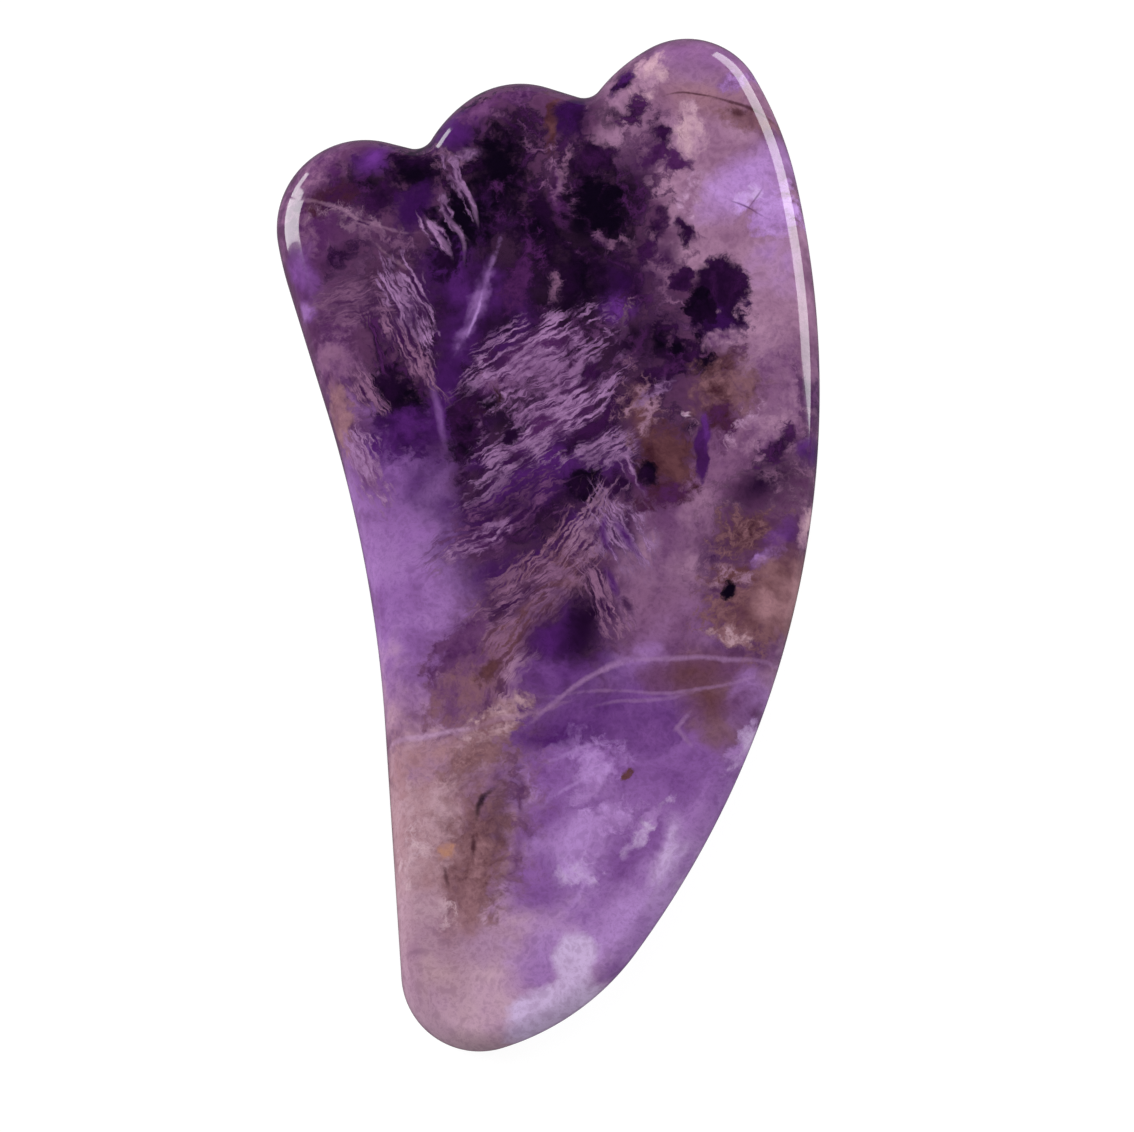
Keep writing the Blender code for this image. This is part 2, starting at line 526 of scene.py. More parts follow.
# %% The patch's node group
def patch_group():
    group = bpy.data.node_groups.new("patch", "ShaderNodeTree")
    for name, kind in PATCH_INPUTS.items():
        group.interface.new_socket(name, in_out="INPUT", socket_type=kind)
    group.interface.new_socket("Paint", in_out="OUTPUT", socket_type="NodeSocketColor")
    given = group.nodes.new("NodeGroupInput").outputs

    def step(operation, *values):
        return math_node(operation, *values, where=group)

    offset = vector_node("SUBTRACT", given["Position"], given["Middle"], where=group)
    along = vector_node("DOT_PRODUCT", offset, given["Along"], where=group)
    along = step("MULTIPLY", along, along)
    across = vector_node("DOT_PRODUCT", offset, given["Across"], where=group)
    rise = step("MULTIPLY", step("SUBTRACT", 1, along), given["Bow"])
    across = step("SUBTRACT", across, rise)
    distance = step("SQRT", step("ADD", along, step("MULTIPLY", across, across)))
    torn_by = step("MULTIPLY", given["Fringe"], given["Tear"])
    inside = step("ADD", step("SUBTRACT", 1, distance), torn_by)
    outer = step("MULTIPLY", given["Softness"], -0.5)
    inner = step("MULTIPLY", given["Softness"], 0.5)
    mask = stretch(inside, outer, inner, where=group)
    mask = step("MULTIPLY", mask, given["Strength"])
    darkened = mix(mask, given["Paint"], given["Dark"], where=group)
    bright = step("MULTIPLY", mask, given["Texture"])
    finished = mix(bright, darkened, given["Light"], where=group)
    feed(group.nodes.new("NodeGroupOutput").inputs["Paint"], finished)
    return group


PATCH = patch_group()
print(f"A patch is made of {len(PATCH.nodes)} nodes")
GROUND_DARK = (0.085, 0.028, 0.08)
GROUND_LIGHT = (0.19, 0.085, 0.17)
paint = {"colour": mix(lace, GROUND_DARK, GROUND_LIGHT), "patches": 0}

# %% [markdown]
# A patch is measured from a position that is torn once more, so that its border frays. A vein is
# measured from the position that is only bent, so that it stays a clean line. Softness is the
# border's width as a share of the patch's radius. Mist fades out over a wider border than the
# rest.


# %% Patches and veins, each laid over the paint that is there already
def lay(**values):
    """Places the group once. Its inputs are named with underscores for spaces."""
    node = tree.nodes.new("ShaderNodeGroup")
    node.node_tree = PATCH
    feed(node.inputs["Paint"], paint["colour"])
    for name, value in values.items():
        feed(node.inputs[name], value)
    paint["colour"] = node.outputs["Paint"]
    paint["patches"] += 1


MIST_SOFTNESS = 1.7
USUAL_SOFTNESS = 1.0


def patch(middle, size, degrees, dark, light, texture="clouds", soft=None, tear=1.2, bow=0.0,
          strength=1.0):
    """A patch whose texture runs between two colours. Bow is how far its middle is pushed."""
    way = facing(degrees)
    soft = soft or (MIST_SOFTNESS if texture == "mist" else USUAL_SOFTNESS)
    lay(Position=frayed, Middle=(*middle, 0), Along=(*(way / size[0]), 0),
        Across=(-way.y / size[1], way.x / size[1], 0), Bow=bow / size[1], Softness=soft,
        Fringe=FRINGES.get(texture, ragged), Tear=tear, Strength=strength, Dark=dark,
        Texture=TEXTURES[texture], Light=light)


def vein(start, end, width, colour, bow=0.0, strength=0.8, broken=0.6):
    """A thin line between two places, a little uneven along its length."""
    start, end = Vector(start), Vector(end)
    half_length, half_width = (end - start).length / 2, width / 2
    way = (end - start).normalized()
    lay(Position=bent, Middle=(*(start + end) / 2, 0),
        Along=(*(way / half_length), 0), Across=(-way.y / half_width, way.x / half_width, 0),
        Bow=bow / half_width, Softness=1.6, Fringe=ragged, Tear=1.5 * broken,
        Strength=strength, Dark=colour, Light=colour)


def tell(what):
    """Says what has been painted, and how many patches and veins there are by now."""
    print(f"{what}: {paint['patches']} patches and veins so far")


# %% The stone's colours, from ink to milk
INK = (0.003, 0.0008, 0.006)
NIGHT = (0.013, 0.002, 0.02)
PLUM = (0.034, 0.0055, 0.046)
DUSK = (0.066, 0.014, 0.08)
MAUVE = (0.128, 0.045, 0.132)
ROSE = (0.22, 0.1, 0.19)
OLD_PINK = (0.3, 0.155, 0.265)
PINK = (0.33, 0.175, 0.28)
PALE_PINK = (0.44, 0.26, 0.42)
BLUSH = (0.47, 0.29, 0.35)
TIP_SHADE = (0.5, 0.3, 0.43)
TIP_LIGHT = (0.52, 0.33, 0.42)
SHELL = (0.56, 0.38, 0.44)
SAND = (0.35, 0.18, 0.215)
VEIL = (0.3, 0.155, 0.32)
MILK = (0.52, 0.38, 0.52)

DEEP_VIOLET = (0.03, 0.004, 0.056)
PURPLE = (0.068, 0.012, 0.118)
GRAPE = (0.11, 0.025, 0.19)
VIOLET = (0.17, 0.06, 0.24)
BRIGHT_VIOLET = (0.25, 0.105, 0.34)
LAVENDER = (0.33, 0.165, 0.42)
LILAC = (0.43, 0.24, 0.56)
PALE_LAVENDER = (0.52, 0.37, 0.6)
PALE_LILAC = (0.58, 0.42, 0.68)
FROST = (0.64, 0.48, 0.75)

UMBER = (0.045, 0.011, 0.02)
BROWN = (0.11, 0.04, 0.05)
OLIVE = (0.19, 0.09, 0.13)
RUST = (0.21, 0.095, 0.12)
CLAY = (0.32, 0.16, 0.19)
AMBER = (0.42, 0.2, 0.14)

# %% [markdown]
# ## The large clouds
#
# The whole plate starts as mauve lace, and the large zones come first: the pale pink big lobe
# and the long side under it, the lavender hollow side, the dark heart under the lobes, and the
# lower end, which is violet on the right and beige on the left.

# %% The dark ground of the upper half
patch((-3, 25), (24, 30), 0, INK, DUSK, "lace")
tell("The dark ground of the upper half")

# %% The big lobe and the long side
patch((20, 47), (8.5, 9.5), 0, ROSE, OLD_PINK, "mist", soft=1)
patch((21.5, 36), (6, 10), 0, ROSE, PINK, "mist", soft=1)
patch((24.5, 24), (5, 10), 0, ROSE, PINK, "mist")
patch((22.5, 13.5), (4.5, 6), 0, MAUVE, PINK, "clouds")
patch((13, 5), (11, 2.8), 43, MAUVE, ROSE, "mist")
patch((7, -3.5), (6.5, 4.5), 60, MAUVE, PINK, "mist")
patch((6, -10.5), (4.5, 4.5), 0, MAUVE, ROSE, "mist")
tell("The big lobe and the long side")

# %% The hollow side
patch((-25, 41), (6, 9), 0, DUSK, ROSE, "lace")
patch((-25.5, 26), (4, 11), 5, DUSK, ROSE, "lace")
patch((-23, -3), (6, 15), 0, BRIGHT_VIOLET, LAVENDER, "mist")
patch((-19.4, 4.5), (3.4, 6), 0, BRIGHT_VIOLET, LAVENDER, "mist")
patch((-19.8, 10.5), (4.4, 4.5), 0, VIOLET, LAVENDER, "mist")
patch((-22, 13), (2.5, 4), 10, PURPLE, BRIGHT_VIOLET, "mist")
tell("The hollow side")

# %% The lower end
patch((-5, -38), (24, 19), 40, BRIGHT_VIOLET, LILAC, "mist", soft=0.5, tear=0.5)
patch((2, -27), (12, 9), 40, VIOLET, LAVENDER, "mist")
patch((-3, -20), (11, 3.6), 0, PURPLE, VIOLET, "mist")
patch((5, -25.5), (5.5, 4), 40, VIOLET, BRIGHT_VIOLET, "mist")
patch((-25, -34), (7.5, 16), -4, SAND, BLUSH, "mist")
patch((-23, -49), (11, 9), 0, TIP_SHADE, TIP_LIGHT, "mist")
tell("The lower end")

# %% The dark heart
patch((-5, 42), (7, 10), 0, INK, PLUM, "lace")
patch((5, 36), (9, 12), 0, INK, DUSK, "lace")
patch((8, 21), (7, 6), 0, NIGHT, MAUVE, "lace")
patch((-9.5, 29), (5, 7), -20, NIGHT, PURPLE, "mist")
patch((-6.5, 6.5), (8.5, 8), 20, NIGHT, PURPLE, "mist")
patch((-7, 18), (8, 6), 20, INK, DUSK, "lace")
tell("The dark heart")

# %% [markdown]
# ## The lobes
#
# Seen close, the big lobe is a clear pink with a lavender band across it, a brown crack, and
# pale veils where it meets the dark heart. The small lobe is dark plum between pale threads.

# %% The big lobe, close up
patch((20.5, 47.3), (5, 1.7), -15, RUST, CLAY, "mist", strength=0.6)
patch((24.8, 44.3), (2.6, 1), -20, BROWN, RUST, strength=0.75)
patch((21, 52.6), (5.5, 1.8), -20, VIOLET, ROSE, "mist", strength=0.6)
patch((24.3, 49), (1.8, 1.2), 40, MAUVE, LAVENDER, "wisps")
patch((24.2, 38.2), (5.5, 2), 32, LAVENDER, LILAC, "mist", tear=0.5)
patch((26, 34), (2.4, 3), 0, LAVENDER, LILAC)
patch((23, 35.4), (1.9, 0.7), 30, LILAC, PALE_LAVENDER)
patch((17.4, 36.6), (2.6, 1.1), 60, ROSE, PALE_PINK, "wisps")
patch((18.5, 44.5), (1.6, 2.4), 0, PINK, BLUSH)
patch((15, 51.3), (2.4, 1.8), 40, PINK, BLUSH)
patch((25.5, 27.3), (2.2, 2.2), 0, PINK, LAVENDER, "mist")

vein((17.2, 48.6), (22.6, 47), 0.22, UMBER, bow=0.4)
vein((22.3, 47.1), (27, 44), 0.3, UMBER, bow=0.2)
vein((23, 45.6), (24.8, 44.9), 0.7, UMBER)
vein((22, 35.4), (24.8, 33.6), 0.18, DUSK, strength=0.7)
vein((23.4, 34.5), (25, 36.4), 0.18, DUSK, strength=0.6)
tell("The big lobe, close up")

# %% Crumbs between the big lobe and the dark heart
patch((12.5, 42), (3.4, 6), -15, PLUM, ROSE, "lace")
patch((13.5, 30), (3, 5), -10, PLUM, ROSE, "lace")
patch((15, 44.3), (1, 2), 25, NIGHT, PLUM)
patch((16.8, 41.3), (1.6, 0.9), -25, PLUM, DUSK)
patch((14, 42.7), (1.4, 0.8), 15, PLUM, DUSK)
patch((15.9, 33), (0.6, 1.4), 10, NIGHT, PLUM)
patch((12.3, 33), (2.9, 0.9), 55, NIGHT, PLUM)
patch((11, 37), (1.7, 1.2), 30, NIGHT, DUSK, "lace")
patch((11.3, 51), (1.6, 1.1), 40, NIGHT, PURPLE)
patch((9.6, 47.5), (2.6, 1.9), -45, NIGHT, ROSE, "lace")
patch((12, 47.4), (1.6, 1.8), 0, NIGHT, DUSK, "lace")
tell("Crumbs between the big lobe and the dark heart")

# %% The middle lobe
patch((-1, 48), (4.5, 3.6), -60, INK, DUSK, "lace")
patch((-1.5, 48.6), (3.4, 0.7), -60, PLUM, ROSE, "lace")
patch((0.3, 51.5), (2.6, 1), 20, PLUM, MAUVE, "lace")
patch((2.8, 48), (3, 0.9), 80, UMBER, BROWN)
patch((-8.2, 48.3), (3, 1.7), 30, DEEP_VIOLET, PURPLE, "mist", tear=0.5)
patch((5.4, 48), (2, 2.4), 0, NIGHT, DEEP_VIOLET, "clouds", tear=0.6)
patch((-4.3, 50.8), (2.6, 0.8), 10, DUSK, MAUVE)
tell("The middle lobe")

# %% The small lobe
patch((-18.5, 44.5), (5.5, 4), 0, INK, DUSK, "lace")
patch((-22.6, 43.2), (2.4, 1.4), 10, UMBER, PLUM)
patch((-24, 47), (3, 2), 30, DUSK, ROSE)
patch((-17.5, 47.4), (2.1, 1.4), -15, DEEP_VIOLET, GRAPE, "mist", tear=0.5)
patch((-13, 45), (2.6, 2.4), -30, INK, NIGHT)
patch((-17, 42.4), (2, 1.5), 30, NIGHT, PLUM)
patch((-13.8, 40.8), (2.6, 1.5), 50, DEEP_VIOLET, DEEP_VIOLET, tear=0.6)
patch((-23, 37), (3.6, 1.5), 20, NIGHT, PLUM, "lace")
patch((-27.6, 36), (1.5, 3), 8, DUSK, VIOLET, "mist")
patch((-27.6, 31.2), (0.8, 1.2), 8, VIOLET, LAVENDER, "mist")
patch((-20, 40), (4.5, 1.2), -15, PLUM, PINK, "lace")
patch((-17, 38), (4, 1), -20, PLUM, ROSE, "lace")
patch((-9.3, 46), (2.2, 1.3), -20, NIGHT, ROSE, "lace", strength=0.8)
patch((-7, 45.8), (2, 0.6), 5, PLUM, VEIL)

vein((-26, 43.5), (-20.5, 40.6), 0.35, PINK, bow=0.5, strength=0.35, broken=1.2)
vein((-21.5, 41.2), (-14.8, 38.4), 0.3, PINK, bow=-0.3, strength=0.3, broken=1.2)
vein((-18.8, 37.4), (-15.8, 34.6), 0.35, PINK, strength=0.35, broken=1.2)
tell("The small lobe")

# %% Fangs that hang from it into the dark
patch((-8.6, 38.6), (3, 3.4), 0, INK, INK)
patch((-11.3, 34.6), (1.7, 2), 0, INK, NIGHT)
patch((-8.4, 42.6), (3, 0.7), -72, PLUM, VEIL, "fan_steep", tear=1, strength=0.8)
patch((-10, 39.4), (2.4, 0.5), -70, PLUM, VEIL, "fan_steep", tear=1, strength=0.7)
patch((-12, 37.6), (2, 0.7), -62, PLUM, VEIL, "fan_steep", tear=1)
vein((-10.4, 39.4), (-9.2, 35), 0.5, VEIL, bow=0.3, strength=0.5)
vein((-8.2, 42.6), (-7, 38.2), 0.5, VEIL, bow=0.3, strength=0.5)
vein((-12.2, 38.8), (-11, 35.3), 0.5, VEIL, strength=0.6)
tell("Fangs that hang from it into the dark")

# %% Threads in the dark heart
patch((3, 39.8), (5, 1.2), 100, PLUM, ROSE, "lace")
patch((3.2, 41.5), (2.6, 0.6), 96, DUSK, PINK, "lace")
patch((2.8, 37.6), (3.6, 1.3), 98, DUSK, ROSE, "lace")
patch((4.7, 43), (1.9, 0.9), 45, NIGHT, ROSE, "lace")
patch((7.4, 38), (3.4, 4.4), 0, INK, INK, tear=0.9)
patch((7.6, 43.2), (2.4, 1.5), 20, INK, PLUM)
patch((11, 38.8), (2.4, 3.4), 0, INK, DUSK, "lace", soft=1.4)
patch((-3.6, 43.8), (2.4, 4.6), 0, INK, INK, soft=1.4)
patch((-4, 41.5), (1.6, 1), 60, INK, DUSK, "lace")
patch((0, 36), (2.6, 3), 0, INK, NIGHT)
patch((6.6, 33.4), (2.8, 0.8), -20, PLUM, ROSE, "lace", strength=0.7)
patch((9.5, 33.3), (3.6, 0.8), 12, NIGHT, ROSE, "lace", strength=0.8)
patch((8.4, 28.6), (2.8, 2.2), 20, NIGHT, DEEP_VIOLET, "mist")
patch((7, 25.8), (1.8, 1.3), 0, DEEP_VIOLET, GRAPE, "mist")
patch((3.2, 29.4), (2.6, 3), 25, INK, NIGHT, soft=1.6)
patch((9.5, 27), (2.4, 2.6), 0, NIGHT, DUSK, "lace")
patch((0.2, 28.8), (1.6, 1.2), 40, NIGHT, ROSE, "lace")
patch((-3.2, 31.6), (4.6, 1.5), 62, PLUM, DUSK, "lace")
tell("Threads in the dark heart")

# %% [markdown]
# ## Bubbles, a channel and fans of needles
#
# Under the big lobe lie dark round bubbles. A violet channel runs down from the dark heart to the
# hollow side. On its right, milky needles sweep up in one broad fan, and on its left they hang
# steeply. Below them a brown and pink spine runs down to the left.

# %% Bubbles
patch((19.2, 26.7), (3.6, 3.4), 0, NIGHT, PLUM, "lace", soft=0.35, tear=0.35)
patch((18.4, 22.4), (3, 2.2), 0, NIGHT, DEEP_VIOLET, "clouds", soft=0.6)
patch((16.3, 24.4), (1.8, 2.1), 0, INK, NIGHT, soft=0.3, tear=0.6)
patch((15.1, 28.1), (1.1, 1.8), -15, NIGHT, PLUM, soft=0.4)
patch((11.3, 21.4), (2, 3), -15, INK, PLUM, "lace", soft=0.5)
patch((13.6, 19), (2.4, 2), 0, INK, PLUM, soft=0.5)
patch((16.4, 17.8), (1.6, 2), -20, INK, NIGHT, soft=0.4)
patch((18.6, 18.6), (2.2, 1.8), 0, UMBER, MAUVE, "lace")
patch((10.3, 17.2), (3, 0.8), 20, NIGHT, PLUM)
patch((8.3, 24), (2.2, 0.7), 65, PLUM, PINK, "lace")
patch((18.3, 20.6), (2, 0.8), 10, DUSK, PINK)
tell("Bubbles")

# %% The violet channel
patch((-14, 18.5), (8, 1.8), 63, DEEP_VIOLET, PURPLE, "mist", tear=0.4)
patch((-19.2, 19.2), (2.7, 4.8), 8, INK, NIGHT, soft=0.8)
patch((-19.5, 15.5), (3.4, 2.4), 10, DEEP_VIOLET, PURPLE, "clouds", soft=1.4)
patch((-11.6, 16), (1.9, 5), -22, INK, PLUM, soft=0.8)
vein((-10.8, 25), (-5.4, 34), 0.5, LAVENDER, broken=1, strength=0.45)
patch((-8.6, 29), (4.6, 0.7), 60, PURPLE, LAVENDER, "mist", strength=0.6)
vein((-9.9, 26), (-8.2, 29.4), 0.3, LILAC, broken=0.8, strength=0.6)
vein((-14.8, 20.5), (-15, 14), 0.8, BRIGHT_VIOLET, strength=0.5, broken=0.3)
tell("The violet channel")

# %% Steep needles on its left
patch((-20, 33.5), (5, 4), 0, INK, MAUVE, "lace", strength=0.45)
patch((-22.5, 31), (3.6, 2.8), 0, PLUM, ROSE, "fan_flat", strength=0.6)
patch((-17.2, 30), (4.6, 1.3), 100, PLUM, VEIL, "fan_steep", strength=0.9)
patch((-14.9, 30), (4.6, 1.0), 94, PLUM, VEIL, "fan_steep")
patch((-16.6, 24.8), (4.6, 1), 118, PLUM, ROSE, "fan_steep")
patch((-20.4, 26.5), (3.5, 0.8), 108, NIGHT, DUSK, "fan_steep")
patch((-23, 21.3), (2.6, 1.7), 110, PLUM, ROSE, "fan_steep")
patch((-26, 18.5), (4, 1.3), 95, RUST, CLAY, strength=0.7)
patch((-23.8, 12.6), (3.6, 1.4), 105, MAUVE, VEIL, "fan_steep")
patch((-25.8, 25), (2.4, 1.8), 0, MAUVE, ROSE)
tell("Steep needles on its left")

# %% The broad fan on its right
patch((-3.2, 21.6), (7, 2.8), 20, DUSK, VEIL, "fan_low", bow=0.6)
patch((0.8, 18.6), (3.6, 2.2), 10, DUSK, VEIL, "fan_low", bow=0.4, strength=0.75)
patch((-2.6, 14.4), (7, 2.6), 24, DUSK, VEIL, "fan_low")
patch((-7.8, 9.5), (5.6, 1.4), 22, PLUM, VEIL, "fan_low", bow=0.5, strength=0.75)
patch((2.8, 10.2), (3.8, 1.5), 12, PLUM, VEIL, "fan_low", strength=0.8)
patch((-4, 18.6), (6, 3), 22, MAUVE, VEIL, "lace", strength=0.35)
patch((-8.5, 19.6), (2.6, 1.2), 20, DUSK, ROSE, "lace", strength=0.7)
patch((-9.4, 18), (2.6, 1.2), 15, INK, UMBER, "lace")
patch((-12.6, 15.5), (1.4, 4), -22, INK, PLUM, soft=1.4)
patch((-7.2, 14), (2.2, 0.7), 25, NIGHT, NIGHT)
patch((2.8, 19), (1.5, 1.1), 0, NIGHT, PLUM)
patch((3, 13.2), (4.2, 0.8), 32, NIGHT, PLUM)
patch((0.5, 7), (2.2, 1.5), 0, INK, NIGHT)
patch((3.6, 6.5), (1.6, 1.2), 0, NIGHT, PLUM)
patch((-10, 4.3), (6, 2.4), 25, PLUM, MAUVE, "fan_low")
patch((-9, 6), (5, 2), 20, INK, PURPLE, "lace", strength=0.5)
patch((-13.5, 2), (3.8, 0.9), 25, DUSK, VEIL, "fan_low", strength=0.8)
patch((3, 27.4), (3.4, 1.2), 10, INK, NIGHT, "lace", strength=0.8)
patch((8.6, 22), (2, 2.6), 0, INK, DUSK, "lace", strength=0.8)
patch((-7.6, 2.6), (3.4, 1.4), 25, INK, DUSK, "lace", strength=0.6)
patch((-9, -1.4), (3, 0.8), 20, PLUM, ROSE, "fan_low", strength=0.7)
tell("The broad fan on its right")

# %% The spine
patch((-9, -7), (12, 3.2), 45, BROWN, ROSE, "fan_spine")
patch((1, 3), (4.5, 1.8), 42, DUSK, PINK, "fan_spine", strength=0.65)
patch((-10, -5), (6, 1.8), 28, PLUM, ROSE, "fan_low")
patch((-17.5, -13.5), (4.5, 3.6), 30, MAUVE, RUST, "clouds")
patch((-17, -9), (4, 1.4), 35, DUSK, MAUVE)
patch((-13.4, -12.6), (1.6, 0.8), 15, UMBER, BROWN)
patch((-11.5, -14.8), (4, 1), 55, MAUVE, PINK, "fan_spine")
patch((-16, -18.6), (5.5, 1.8), 28, RUST, BLUSH, "wisps")
tell("The spine")

# %% The steep blades on the spine's right
patch((-4, -10), (3.4, 4.4), -10, NIGHT, PURPLE, "mist")
patch((-2.2, -7.5), (4.6, 1.5), 70, NIGHT, NIGHT, "mist")
patch((-6, -14), (3.2, 1.6), 0, PURPLE, VIOLET, "mist")
patch((0.4, -6.6), (4.2, 1.8), 110, PLUM, ROSE, "fan_steep")
patch((3.3, 1), (4, 2.4), 112, PLUM, VEIL, "fan_steep")
vein((1.8, 3), (2, -1.4), 0.9, PURPLE, bow=-0.6)
vein((3, 2.4), (4.6, -2), 0.8, PURPLE)
vein((0.6, -3), (2, -6.2), 0.8, PURPLE)
vein((2.2, -6), (3.4, -8.8), 0.6, PLUM)
patch((6, 6.2), (2.6, 0.6), 112, DUSK, VEIL, "fan_steep")
vein((6.2, 8.6), (6.2, 5.2), 0.6, NIGHT)
tell("The steep blades on the spine's right")

# %% [markdown]
# ## The right of the middle
#
# Here the stone is busiest: brown stains, a violet slot, a pink streak, and then the long side
# again, dark and crumbly above, brown below.

# %% Brown stains, a violet slot and a pink streak
patch((7.8, 13.6), (2, 4), 0, BROWN, PINK, "lace")
patch((11, 16), (3.2, 0.7), 22, PLUM, VEIL, "lace")
patch((12, 18.4), (1.8, 1.6), 0, NIGHT, DUSK, "lace")
patch((9.6, 8), (2.6, 3.8), 0, UMBER, BROWN)
patch((7.2, 6.6), (0.9, 1.3), 0, INK, NIGHT)
patch((9, 4.2), (2.8, 1.4), 0, UMBER, DUSK)
patch((12.5, 11.2), (2, 1.2), 0, NIGHT, ROSE, "lace")
patch((13.6, 8), (2.8, 1), 78, PLUM, PURPLE, "mist", soft=0.4)
patch((14.6, 10.6), (1.4, 0.5), 80, PURPLE, GRAPE, "mist")
patch((12.7, 13.1), (0.6, 0.4), 0, PINK, MILK, "lace")
patch((17.6, 14.6), (3, 3), 20, UMBER, RUST, soft=1.4)
patch((16.6, 11.2), (1.6, 2), 0, UMBER, DUSK)
patch((18.6, 9.6), (3.6, 0.8), 48, ROSE, PALE_PINK, "lace")
patch((21.5, 9.5), (3, 2), 45, MAUVE, PINK)
tell("Brown stains, a violet slot and a pink streak")

# %% The long side below the pink
patch((20.5, 3.6), (6.4, 3.4), 25, NIGHT, ROSE, "lace")
patch((22.4, 7.4), (3.4, 1.6), 35, NIGHT, DUSK, "lace")
patch((25.8, 6.6), (1, 1.5), -10, DEEP_VIOLET, GRAPE, "mist")
patch((26.8, 12), (1.5, 5), 0, PLUM, MAUVE, "lace")
patch((13.5, -3.6), (3.2, 2.4), 30, PLUM, ROSE, "lace")
patch((17.5, -1.8), (4, 2.8), 10, UMBER, RUST, "lace")
patch((21, -3), (2.2, 0.9), 42, PURPLE, VIOLET, "mist", strength=0.8)
patch((18.6, -5.6), (2, 0.9), 30, DUSK, LAVENDER, "clouds")
patch((24.3, -1.2), (3.2, 0.7), 62, ROSE, BLUSH)
patch((16, -11), (5, 4.2), 20, BROWN, RUST, "lace")
patch((19.8, -8.6), (5, 2.3), 60, BROWN, CLAY, "mist", soft=1)
patch((15, -6.4), (2.6, 1.2), -10, BROWN, PINK, "specks")
patch((14.5, -8.1), (0.7, 1), 0, INK, INK, tear=1.4)
patch((13.6, -12.8), (2, 1), -20, RUST, BLUSH, "specks")
tell("The long side below the pink")

# %% [markdown]
# ## The pale end
#
# Below the veins the stone is clear: violet clouds with straight streaks in them, and on the left
# a beige cloud with a brown middle. The veins themselves are healed cracks, thin and pale.

# %% Violet clouds
patch((-4.5, -24), (4.2, 2), -20, BRIGHT_VIOLET, LILAC)
patch((-6.5, -27), (3, 1.6), 20, LAVENDER, LILAC, "wisps")
patch((-4, -31.2), (3.4, 1.4), 10, LAVENDER, LILAC)
patch((-8.5, -33), (4, 1.6), 15, LAVENDER, LILAC, "mist")
patch((-8, -36), (2.2, 1.4), 0, LILAC, PALE_LAVENDER)
patch((2.3, -36.5), (3.6, 1.4), 55, LAVENDER, PALE_LAVENDER, "mist")
patch((0.5, -32.6), (3, 0.7), 35, LAVENDER, PALE_LAVENDER, "wisps")
patch((-3.5, -38), (5, 1.2), 60, VIOLET, BRIGHT_VIOLET, "mist")
patch((-12.8, -37), (3, 2.4), 60, VIOLET, BRIGHT_VIOLET, "mist")
patch((-10.5, -29.5), (3.6, 1.1), 30, VIOLET, BRIGHT_VIOLET, "mist")
patch((-9, -25), (2.6, 2.6), 0, VIOLET, BRIGHT_VIOLET)
patch((-8.4, -21), (3, 1.2), -10, PURPLE, PURPLE, "mist")
patch((4, -22), (3, 1.8), 20, PURPLE, VIOLET, "mist")
patch((0.2, -26.8), (0.7, 0.4), 20, BROWN, BROWN)
patch((-5, -42), (5, 2), 50, LAVENDER, LILAC, "mist")
patch((3.4, -35.4), (3, 1), 55, LILAC, PALE_LAVENDER, "mist", soft=0.6)
vein((-1.5, -44), (4.5, -35), 0.8, LILAC, strength=0.5)
vein((-4, -44.5), (2, -37.5), 0.5, LILAC, strength=0.5)
vein((-9.5, -40), (-5.5, -35.2), 0.5, LILAC, strength=0.5)
vein((1.5, -41.5), (8.5, -32), 0.5, LILAC, strength=0.4)
vein((-8.5, -23.5), (-1.5, -22.6), 0.5, LILAC, bow=0.3, strength=0.4)
vein((-10, -28.2), (-3, -25.4), 0.4, LILAC, bow=0.3, strength=0.4)
patch((7.5, -31), (4, 1), 50, BRIGHT_VIOLET, LAVENDER, "mist")
tell("Violet clouds")

# %% The olive stain and the pale edge beside it
patch((10, -19.5), (2.4, 5), 15, BROWN, OLIVE, "mist")
patch((9, -16), (4.4, 1.4), 0, BROWN, MAUVE, "mist")
patch((14.6, -20), (3, 1.6), 50, MAUVE, LAVENDER, "mist")
patch((12.4, -25.2), (2.6, 0.8), 50, LAVENDER, PALE_LAVENDER)
patch((18, -16), (2.6, 1), 60, MAUVE, PINK, "mist")
tell("The olive stain and the pale edge beside it")

# %% The beige cloud
patch((-26, -25), (2.6, 5), -5, SAND, BLUSH, soft=1.6)
patch((-22, -21.5), (4, 2), 5, SAND, PINK)
patch((-18, -22), (4.5, 2), 20, BROWN, SAND, "lace", soft=1.5)
patch((-18, -31), (9, 4), 68, BROWN, CLAY, "clouds", soft=1.8, strength=0.6)
patch((-16.2, -29.5), (7, 2.2), 65, UMBER, RUST, "lace", soft=1.5, strength=0.8)
patch((-19.8, -35), (6.5, 2.4), 75, BROWN, CLAY, "clouds", soft=1.5)
patch((-21.8, -39.5), (3, 2), 60, RUST, CLAY, soft=1.6)
patch((-14.6, -33.5), (3.6, 1), 70, MAUVE, ROSE, "lace")
patch((-13.2, -27), (4.2, 0.9), 95, DUSK, ROSE, "lace", soft=1.6)
patch((-22, -31.6), (1, 0.8), 30, CLAY, AMBER)
patch((-26, -32.5), (2.2, 3), 0, BLUSH, SHELL, "lace")
patch((-25, -38), (2.4, 1.6), -20, BLUSH, SHELL, "lace")
vein((-17.8, -28.6), (-15.9, -26), 0.7, INK, bow=0.2)
vein((-19.2, -32.6), (-18.8, -30.8), 0.5, UMBER)
vein((-22.8, -35.5), (-22.6, -33.6), 0.4, UMBER, strength=0.6)
vein((-21, -42), (-19.8, -38), 1.2, CLAY, strength=0.5)
tell("The beige cloud")

